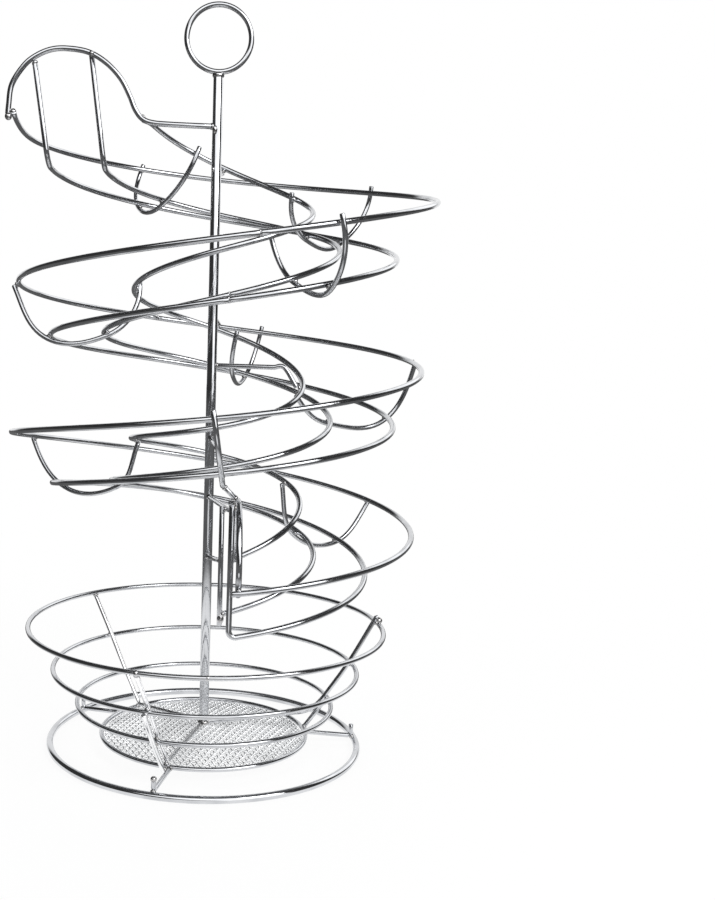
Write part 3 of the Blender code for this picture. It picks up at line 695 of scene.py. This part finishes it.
def makeRing(name, run):
    points = run["points"]
    middle = sum(points, Vector()) / len(points)
    out = (points[0] - middle).normalized()
    axis = out.cross(points[len(points) // 4] - middle).normalized()
    ring = bmesh.new()
    bmesh.ops.create_circle(ring, segments=wireShape["ringSides"], radius=thick[run["wire"]] / 2)
    stand = Matrix((out, axis, out.cross(axis))).transposed()
    bmesh.ops.rotate(ring, matrix=stand, verts=ring.verts)
    bmesh.ops.translate(ring, vec=points[0], verts=ring.verts)
    bmesh.ops.spin(ring, geom=list(ring.edges), cent=middle, axis=axis, angle=2 * math.pi,
                   steps=wireShape["ringSteps"], use_merge=True)
    bmesh.ops.remove_doubles(ring, verts=ring.verts, dist=wireShape["mergeWithin"])
    bmesh.ops.recalc_face_normals(ring, faces=ring.faces)
    return addObject(name, meshOf(name, ring))


for name, run in runs.items():
    piece = (makeRing if run["closed"] else makeWire)(f"{name}_shown", run)
    dress(piece, slotOf(name), finishOf(name))
    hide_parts(name)
print("made", len(runs), "wires")


# Welds: a small upset of metal wherever two wires touch
weldShape = {
    "groups": {"basket_welds": 0.07, "track_welds": 0.30, "top_welds": 1},  # each up to a height
    "side": (0.0015, 0.0009),  # half width and half height of a weld between crossing wires
    "butt": (1.12, 0.0008),  # share of the radius, half length of the upset between two lengths
    "tee": (1.22, 0.8),  # shares of the radius where a wire's end meets another's side
    "endWithin": 0.0005,
    "fineness": 3,
    "straightPoints": 160,
    "reach": 0.012,  # no weld between points of two wires that lie further apart
    "finePoints": 41,
    "lumps": (  # the thicker ones: middle, half width and half height
        ((-0.1033, -0.0028, 0.3223), 0.0018, 0.0019),  # the entrance arch's foot
        ((-0.1010, -0.0022, 0.3247), 0.0017, 0.0016),  # the outer top rail's start
        ((-0.0012, -0.0024, 0.3188), 0.0014, 0.0021),  # the arch's tail on the post
        ((-0.0016, -0.0025, 0.2995), 0.0009, 0.0011),  # the post's front
        ((-0.0625, -0.0029, 0.3533), 0.0013, 0.0013),  # the inner stop bar on the arch
        ((-0.0334, -0.0873, 0.0649), 0.0015, 0.0017),  # the front rib under the top ring
        ((0.0932, 0.0082, 0.0668), 0.0019, 0.0018),  # the right rib's tip
        ((-0.0247, -0.0762, 0.0096), 0.0016, 0.0015),  # the front bracket's upright end
        ((0.0, 0.0, 0.0117), 0.0034, 0.0017),  # the ribs' arms round the post's foot
        ((-0.0005, -0.0933, 0.0650), 0.0014, 0.0014),  # the top ring's butt weld
        ((0.0058, -0.0519, 0.0822), 0.0017, 0.0030),  # the exit stop bar's lower end
    ),
}


def middleLine(run):
    line = np.array([tuple(point) for point in run["points"]])
    return np.linspace(line[0], line[1], weldShape["straightPoints"]) if len(line) == 2 else line


def nearest(a, b):
    gaps = np.linalg.norm(a[:, None] - b[None], axis=2)
    i, j = np.unravel_index(gaps.argmin(), gaps.shape)
    return i, j, float(gaps[i, j])


def finer(line, at, closed):  # the stretch round one point, in smaller steps
    if closed:
        line = np.roll(line, len(line) // 2 - at, axis=0)
        at = len(line) // 2
    part = line[max(at - 1, 0):at + 2]
    steps = np.linspace(0, len(part) - 1, weldShape["finePoints"])
    return np.column_stack([np.interp(steps, range(len(part)), part[:, axis]) for axis in range(3)])


def closest(first, second):  # where two middle lines come nearest, how near, and the first one's way
    a = middleLine(first)
    b = middleLine(second)
    i, j, gap = nearest(a, b)
    for whole in (True, False):  # closes in twice; only a whole line can be a closed one
        if gap > weldShape["reach"]:
            return None
        a = finer(a, i, whole and first["closed"])
        b = finer(b, j, whole and second["closed"])
        i, j, gap = nearest(a, b)
    way = a[min(i + 1, len(a) - 1)] - a[max(i - 1, 0)]
    return Vector(a[i]), Vector(b[j]), gap, Vector(way)


def ball(welds, middle, axis, wide, high):
    made = bmesh.ops.create_icosphere(welds, subdivisions=weldShape["fineness"], radius=1)["verts"]
    bmesh.ops.scale(welds, vec=(wide, wide, high), verts=made)
    bmesh.ops.rotate(welds, matrix=axis.to_track_quat("Z", "Y").to_matrix(), verts=made)
    bmesh.ops.translate(welds, vec=middle, verts=made)


def weldBetween(first, second):  # middle, axis, half width and half height, or None
    near = closest(first, second)
    if near is None:
        return None
    a, b, gap, way = near
    radii = [thick[run["wire"]] / 2 for run in (first, second)]
    if gap < min(radii):
        share, high = weldShape["butt"]
        return (a + b) / 2, way, radii[0] * share, high
    if gap < sum(radii) - weldGap / 2:
        ends = second["points"][0], second["points"][-1]
        isEnd = min((b - end).length for end in ends) < weldShape["endWithin"]
        end, radius = (b, radii[1]) if isEnd else (a, radii[0])
        return end, a - b, *(radius * share for share in weldShape["tee"])
    if gap < sum(radii) + weldGap * 2:
        return a.lerp(b, radii[0] / sum(radii)), a - b, *weldShape["side"]
    return None


def makeWelds():
    found = [weldBetween(*pair) for pair in combinations(runs.values(), 2)]
    found = [weld for weld in found if weld]
    found += [(Vector(middle), up, wide, high) for middle, wide, high in weldShape["lumps"]]
    groups = {name: bmesh.new() for name in weldShape["groups"]}
    for middle, axis, wide, high in found:
        group = next(name for name, top in weldShape["groups"].items() if middle.z < top)
        ball(groups[group], middle, axis, wide, high)
    for name, welds in groups.items():
        dress(addObject(name, meshOf(name, welds)), "chromed_wire", "weld")
    print("made", len(found), "welds")


makeWelds()


# The floor: plain weave of fine wire, crowned a little, its ends held by the rim
clothShape = {
    "wire": 0.00070,
    "pitch": 0.0025,
    "pointsPerPitch": 4,
    "roundness": 1,
    "edge": 0.05295,
    "trim": 0.0001,
    "height": 0.0049,
    "turnDegrees": 21,
}


def makeCloth():
    radius = clothShape["edge"]
    pitch = clothShape["pitch"]
    count = int(radius / pitch)
    turn = Matrix.Rotation(math.radians(clothShape["turnDegrees"]), 3, "Z")
    for name, across in (("floor_warp", False), ("floor_weft", True)):
        curve = roundCurve(name, clothShape["wire"], clothShape["roundness"])
        for number in range(-count, count + 1):
            half = math.sqrt(max(radius**2 - (number * pitch) ** 2, 0)) - clothShape["trim"]
            steps = max(2, round(2 * half / pitch * clothShape["pointsPerPitch"]))
            spline = curve.splines.new("POLY")
            spline.points.add(steps)
            for step, knot in enumerate(spline.points):
                along = -half + 2 * half * step / steps
                wave = math.cos(math.pi * (along / pitch + number)) * clothShape["wire"] / 2
                crown = basketShape["dome"] * (1 - (along**2 + (number * pitch) ** 2) / radius**2)
                height = clothShape["height"] + crown + (-wave if across else wave)
                flat = (along, number * pitch) if across else (number * pitch, along)
                knot.co = (*(turn @ Vector((*flat, height))), 1)
        piece = addObject(name, curve)
        dress(piece, "woven_wire")
        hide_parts("floor_mesh")


makeCloth()
print("wove the floor")


# Camera at the photograph's place
cameraShape = {
    "place": (-0.0134, -0.6278, 0.2334),
    "degrees": (-1.5028, -8.6978, -1.3559),  # yaw, pitch, roll
    "focal": 1219.3,  # this, the centre and the picture's size are in pixels
    "centre": (214.8, 490.0),
    "picture": (715, 900),
    "sensor": 36,
}


def makeCamera():
    yaw, pitch, roll = (math.radians(angle) for angle in cameraShape["degrees"])
    turn = Matrix.Rotation(yaw, 3, "Z") @ Matrix.Rotation(pitch, 3, "X") @ Matrix.Rotation(roll, 3, "Y")
    wide, high = cameraShape["picture"]
    data = bpy.data.cameras.new("camera")
    data.sensor_width = cameraShape["sensor"]
    data.lens = cameraShape["focal"] * cameraShape["sensor"] / high
    data.shift_x = (wide / 2 - cameraShape["centre"][0]) / high
    data.shift_y = (cameraShape["centre"][1] - high / 2) / high
    scene.camera = addObject("camera", data)
    level = Matrix.Rotation(math.pi / 2, 3, "X")  # a camera looks along its own -Z
    scene.camera.matrix_world = Matrix.Translation(cameraShape["place"]) @ (turn @ level).to_4x4()


makeCamera()


# Studio: white floor and backdrop, three soft lamps, and a dark room that the chrome mirrors
studioShape = {
    "floor": 3.0,
    "floorColour": (0.12, 0.12, 0.12),
    "floorRough": 0.9,
    "lift": {"Camera": 0.90, "Glossy": 1.0, "Transmission": 0.90},  # how bright each ray sees the floor
    "whiteFrom": (0.20, 0.60),  # metres out from the post: the camera's floor fades to plain white
    "mirrored": (0.12, 0.24),  # metres out from the post: the floor's glow for reflected rays, a painted reflection, fades to dark
    "farShare": 0.05,
    "sheet": (0, -0.36, 0),  # a patch on the floor in front that glows for reflected rays only: a painted reflection, which the upright wires mirror
    "sheetEdge": (0.09, 0.15),
    "lamps": {  # place, size, watts, whether the chrome mirrors it
        "key": ((0.80, -0.75, 0.95), 0.6, 6, True),
        "fill": ((-0.95, -0.60, 0.70), 0.9, 3, False),
        "rear": ((0.15, 0.95, 1.05), 0.7, 4, False),
    },
    "aim": (0, 0, 0.15),  # the place that the lamps shine at
    "plain": 0.45,  # the world's light on everything but a mirror
}
tentShape = {  # what the chrome mirrors; each edge is a cosine, from across a way (0) to along it (1)
    "dark": 0.045,
    "front": (0, -1, 0),  # a bright cloth round the camera, to its right and above it only
    "clothOuter": (0.42, 0.58),
    "clothInner": (0.970, 0.998),
    "clothWay": (0.55, 0, 0.85),
    "clothSide": (0, 0.2),
    "clothLight": 1.7,
    "rear": (0, 1, 0),  # the white backdrop
    "backdrop": (0.72, 0.88),
    "windowWay": (0.62, 0.61, 0.50),
    "window": (0.90, 0.97),
    "windowLight": 1.5,
}


def mathNode(tree, operation, *values):  # a value is a number or another node's socket
    node = tree.nodes.new("ShaderNodeMath")
    node.operation = operation
    for socket, value in zip(node.inputs, values):
        if isinstance(value, (int, float)):
            socket.default_value = value
        else:
            tree.links.new(value, socket)
    return node.outputs[0]


def vectorNode(tree, operation, socket, second=(0, 0, 0)):
    node = tree.nodes.new("ShaderNodeVectorMath")
    node.operation = operation
    tree.links.new(socket, node.inputs[0])
    node.inputs[1].default_value = second
    return node.outputs["Value"]


def fadeNode(tree, socket, edge, low, high):  # from low to high as the socket's value crosses the edge
    node = tree.nodes.new("ShaderNodeMapRange")
    node.interpolation_type = "SMOOTHSTEP"
    for name, value in zip(("From Min", "From Max", "To Min", "To Max"), (*edge, low, high)):
        node.inputs[name].default_value = value
    tree.links.new(socket, node.inputs["Value"])
    return node.outputs["Result"]


def makeFloor():
    floor = bmesh.new()
    bmesh.ops.create_grid(floor, x_segments=1, y_segments=1, size=studioShape["floor"])
    piece = addObject("studio_floor", meshOf("studio_floor", floor))
    material = bpy.data.materials.new("studio_floor")
    material.use_nodes = True
    piece.data.materials.append(material)
    tree = material.node_tree
    shader = tree.nodes["Principled BSDF"]
    shader.inputs["Base Color"].default_value = (*studioShape["floorColour"], 1)
    shader.inputs["Roughness"].default_value = studioShape["floorRough"]
    shader.inputs["Specular IOR Level"].default_value = 0

    # the chrome sees a white round and a white patch on a darker floor: both glow for reflected rays
    # only, painted reflections
    rays = tree.nodes.new("ShaderNodeLightPath")
    point = tree.nodes.new("ShaderNodeTexCoord").outputs["Object"]
    out = vectorNode(tree, "LENGTH", point)
    toGlowPatch = vectorNode(tree, "DISTANCE", point, studioShape["sheet"])
    around = fadeNode(tree, out, studioShape["mirrored"], 1, studioShape["farShare"])
    sheet = fadeNode(tree, toGlowPatch, studioShape["sheetEdge"], 1, 0)
    mirrored = mathNode(tree, "MAXIMUM", around, sheet)
    lift = 0
    for ray, level in studioShape["lift"].items():
        seen = mathNode(tree, "MULTIPLY", rays.outputs[f"Is {ray} Ray"], level)
        if ray == "Glossy":
            seen = mathNode(tree, "MULTIPLY", seen, mirrored)
        lift = mathNode(tree, "ADD", seen, lift)
    shader.inputs["Emission Color"].default_value = (1, 1, 1, 1)
    tree.links.new(lift, shader.inputs["Emission Strength"])

    # further out the camera sees plain white
    far = fadeNode(tree, out, studioShape["whiteFrom"], 0, 1)
    white = tree.nodes.new("ShaderNodeEmission")
    mixed = tree.nodes.new("ShaderNodeMixShader")
    tree.links.new(mathNode(tree, "MULTIPLY", far, rays.outputs["Is Camera Ray"]), mixed.inputs["Fac"])
    tree.links.new(shader.outputs["BSDF"], mixed.inputs[1])
    tree.links.new(white.outputs["Emission"], mixed.inputs[2])
    tree.links.new(mixed.outputs["Shader"], tree.nodes["Material Output"].inputs["Surface"])


def hangLamps():
    for name, (spot, size, watts, mirrored) in studioShape["lamps"].items():
        lamp = bpy.data.lights.new(name, "AREA")
        lamp.shape = "SQUARE"
        lamp.size = size
        lamp.energy = watts
        holder = addObject(name, lamp)
        holder.location = spot
        holder.visible_glossy = mirrored
        aim = Vector(studioShape["aim"]) - Vector(spot)
        holder.rotation_euler = aim.to_track_quat("-Z", "Y").to_euler()


def makeTent():
    world = bpy.data.worlds.new("studio")
    scene.world = world
    world.use_nodes = True
    tree = world.node_tree
    way = tree.nodes.new("ShaderNodeTexCoord").outputs["Generated"]

    def toward(direction, edge, low=0, high=1):
        along = vectorNode(tree, "DOT_PRODUCT", way, Vector(tentShape[direction]).normalized())
        return fadeNode(tree, along, tentShape[edge], low, high)

    cloth = mathNode(tree, "MULTIPLY", toward("front", "clothOuter"), toward("front", "clothInner", 1, 0))
    cloth = mathNode(tree, "MULTIPLY", cloth, toward("clothWay", "clothSide"))
    cloth = mathNode(tree, "MULTIPLY", cloth, tentShape["clothLight"])
    window = mathNode(tree, "MULTIPLY", toward("windowWay", "window"), tentShape["windowLight"])
    lit = tentShape["dark"]
    for light in (cloth, toward("rear", "backdrop"), window):
        lit = mathNode(tree, "MAXIMUM", light, lit)

    # a mirror sees the tent, the camera plain white, and all else an even light
    rays = tree.nodes.new("ShaderNodeLightPath")
    even = tree.nodes.new("ShaderNodeMix")
    even.inputs["A"].default_value = studioShape["plain"]
    tree.links.new(rays.outputs["Is Glossy Ray"], even.inputs["Factor"])
    tree.links.new(lit, even.inputs["B"])
    shown = tree.nodes.new("ShaderNodeMix")
    shown.inputs["B"].default_value = 1
    tree.links.new(rays.outputs["Is Camera Ray"], shown.inputs["Factor"])
    tree.links.new(even.outputs["Result"], shown.inputs["A"])
    background = tree.nodes["Background"]
    background.inputs["Color"].default_value = (1, 1, 1, 1)
    tree.links.new(shown.outputs["Result"], background.inputs["Strength"])


makeFloor()
hangLamps()
makeTent()
print("lit the studio")
scene.view_settings.view_transform = "Standard"
